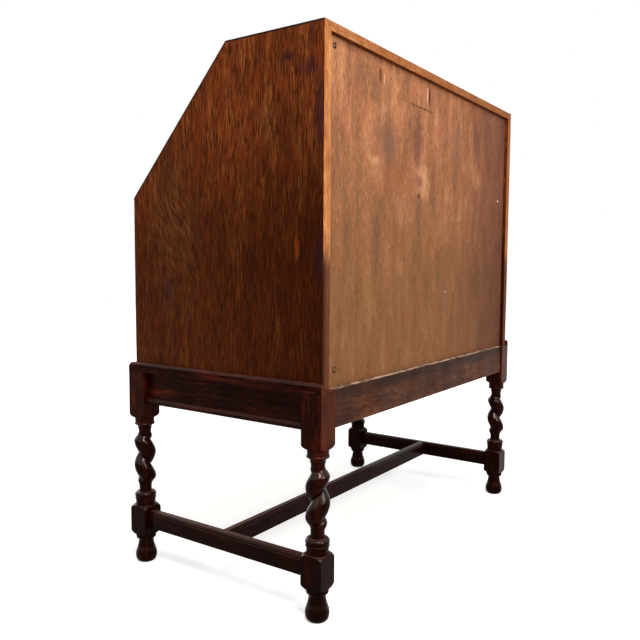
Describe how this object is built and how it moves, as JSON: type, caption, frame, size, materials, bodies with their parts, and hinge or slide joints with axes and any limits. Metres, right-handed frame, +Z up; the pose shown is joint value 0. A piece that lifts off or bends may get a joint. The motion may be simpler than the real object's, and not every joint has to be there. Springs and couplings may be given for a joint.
{
  "type": "slant-front desk",
  "caption": "Oak slant-front writing desk with drawers, pigeonholes and flap supports, on a stand with barley-twist legs and stretchers.",
  "frame": {"origin": "middle of the overall width and depth, on the floor", "axes": "+X to the right of someone sitting at the desk, +Y towards the back, +Z up"},
  "size_m": [0.901, 0.4926, 1.03],
  "materials": {
    "oak_stand": "dark stained oak with a worn gloss polish",
    "oak_case": "stained quarter-sawn oak, satin polish",
    "oak_inside": "plain oak, dry and unpolished",
    "plywood_back": "thin plywood, dull and stained by age",
    "brass_fittings": "aged brass",
    "steel_fittings": "dull steel"
  },
  "bodies": {
    "carcase": {"leg_front_left": "oak_stand", "leg_front_right": "oak_stand", "leg_back_left": "oak_stand", "leg_back_right": "oak_stand", "rail_front": "oak_stand", "rail_back": "oak_stand", "rail_left": "oak_stand", "rail_right": "oak_stand", "moulding_front": "oak_stand", "moulding_left": "oak_stand", "moulding_right": "oak_stand", "stretcher_left": "oak_stand", "stretcher_right": "oak_stand", "stretcher_centre": "oak_stand", "side_left": "oak_case", "side_right": "oak_case", "top_board": "oak_case", "writing_bed": "oak_case", "drawer_rails": "oak_case", "loper_partitions": "oak_case", "flap_stop_rail": "oak_case", "bottom_board": "oak_inside", "back_battens": "oak_inside", "drawer_runners": "oak_inside", "interior_shelf": "oak_inside", "interior_dividers": "oak_inside", "back_panel": "plywood_back", "bed_hinge_leaves": "brass_fittings", "hinge_pins": "steel_fittings"},
    "flap": {"flap_board": "oak_case", "flap_hinge_leaves": "brass_fittings", "flap_escutcheon": "brass_fittings", "flap_lock": "brass_fittings"},
    "bolt": {"lock_bolt": "steel_fittings"},
    "key": {"lock_key": "steel_fittings"},
    "left_loper": {"loper_left": "oak_case", "loper_knob_left": "brass_fittings"},
    "right_loper": {"loper_right": "oak_case", "loper_knob_right": "brass_fittings"},
    "small_drawer": {"small_drawer_front": "oak_case", "small_drawer_box": "oak_inside", "small_drawer_knob": "brass_fittings"},
    "top_drawer": {"top_drawer_front": "oak_case", "top_drawer_box": "oak_inside", "top_drawer_bottom": "oak_inside", "top_drawer_plates": "brass_fittings"},
    "top_bail_left": {"top_drawer_bail_left": "brass_fittings"},
    "top_bail_right": {"top_drawer_bail_right": "brass_fittings"},
    "middle_drawer": {"middle_drawer_front": "oak_case", "middle_drawer_box": "oak_inside", "middle_drawer_bottom": "oak_inside", "middle_drawer_plates": "brass_fittings"},
    "middle_bail_left": {"middle_drawer_bail_left": "brass_fittings"},
    "middle_bail_right": {"middle_drawer_bail_right": "brass_fittings"},
    "bottom_drawer": {"bottom_drawer_front": "oak_case", "bottom_drawer_box": "oak_inside", "bottom_drawer_bottom": "oak_inside", "bottom_drawer_plates": "brass_fittings"},
    "bottom_bail_left": {"bottom_drawer_bail_left": "brass_fittings"},
    "bottom_bail_right": {"bottom_drawer_bail_right": "brass_fittings"}
  },
  "joints": [
    {"name": "flap_hinge", "type": "hinge", "parent": "carcase", "child": "flap", "pos_m": [0, -0.22725, 0.73462], "axis": [1, 0, 0], "range_deg": [0, 133]},
    {"name": "key_turn", "type": "hinge", "parent": "flap", "child": "key", "pos_m": [0, 0.00015, 1.0047], "axis": [0, -0.7311, 0.6822], "range_deg": [0, 90]},
    {"name": "bolt_slide", "type": "slide", "parent": "flap", "child": "bolt", "axis": [0, 0.6822, 0.7311], "range_m": [0, 0.006]},
    {"name": "left_loper_slide", "type": "slide", "parent": "carcase", "child": "left_loper", "axis": [0, -1, 0], "range_m": [0, 0.28]},
    {"name": "right_loper_slide", "type": "slide", "parent": "carcase", "child": "right_loper", "axis": [0, -1, 0], "range_m": [0, 0.28]},
    {"name": "small_drawer_slide", "type": "slide", "parent": "carcase", "child": "small_drawer", "axis": [0, -1, 0], "range_m": [0, 0.13]},
    {"name": "top_drawer_slide", "type": "slide", "parent": "carcase", "child": "top_drawer", "axis": [0, -1, 0], "range_m": [0, 0.33]},
    {"name": "top_bail_left_swing", "type": "hinge", "parent": "top_drawer", "child": "top_bail_left", "pos_m": [-0.25, -0.24025, 0.68662], "axis": [-1, 0, 0], "range_deg": [-18, 85]},
    {"name": "top_bail_right_swing", "type": "hinge", "parent": "top_drawer", "child": "top_bail_right", "pos_m": [0.25, -0.24025, 0.68662], "axis": [-1, 0, 0], "range_deg": [-18, 85]},
    {"name": "middle_drawer_slide", "type": "slide", "parent": "carcase", "child": "middle_drawer", "axis": [0, -1, 0], "range_m": [0, 0.33]},
    {"name": "middle_bail_left_swing", "type": "hinge", "parent": "middle_drawer", "child": "middle_bail_left", "pos_m": [-0.25, -0.24025, 0.59112], "axis": [-1, 0, 0], "range_deg": [-18, 85]},
    {"name": "middle_bail_right_swing", "type": "hinge", "parent": "middle_drawer", "child": "middle_bail_right", "pos_m": [0.25, -0.24025, 0.59112], "axis": [-1, 0, 0], "range_deg": [-18, 85]},
    {"name": "bottom_drawer_slide", "type": "slide", "parent": "carcase", "child": "bottom_drawer", "axis": [0, -1, 0], "range_m": [0, 0.33]},
    {"name": "bottom_bail_left_swing", "type": "hinge", "parent": "bottom_drawer", "child": "bottom_bail_left", "pos_m": [-0.25, -0.24025, 0.48581], "axis": [-1, 0, 0], "range_deg": [-18, 85]},
    {"name": "bottom_bail_right_swing", "type": "hinge", "parent": "bottom_drawer", "child": "bottom_bail_right", "pos_m": [0.25, -0.24025, 0.48581], "axis": [-1, 0, 0], "range_deg": [-18, 85]}
  ],
  "couplings": [
    {"joint": "key_turn", "follows": "bolt_slide", "rad_per_m": 261.77}
  ]
}
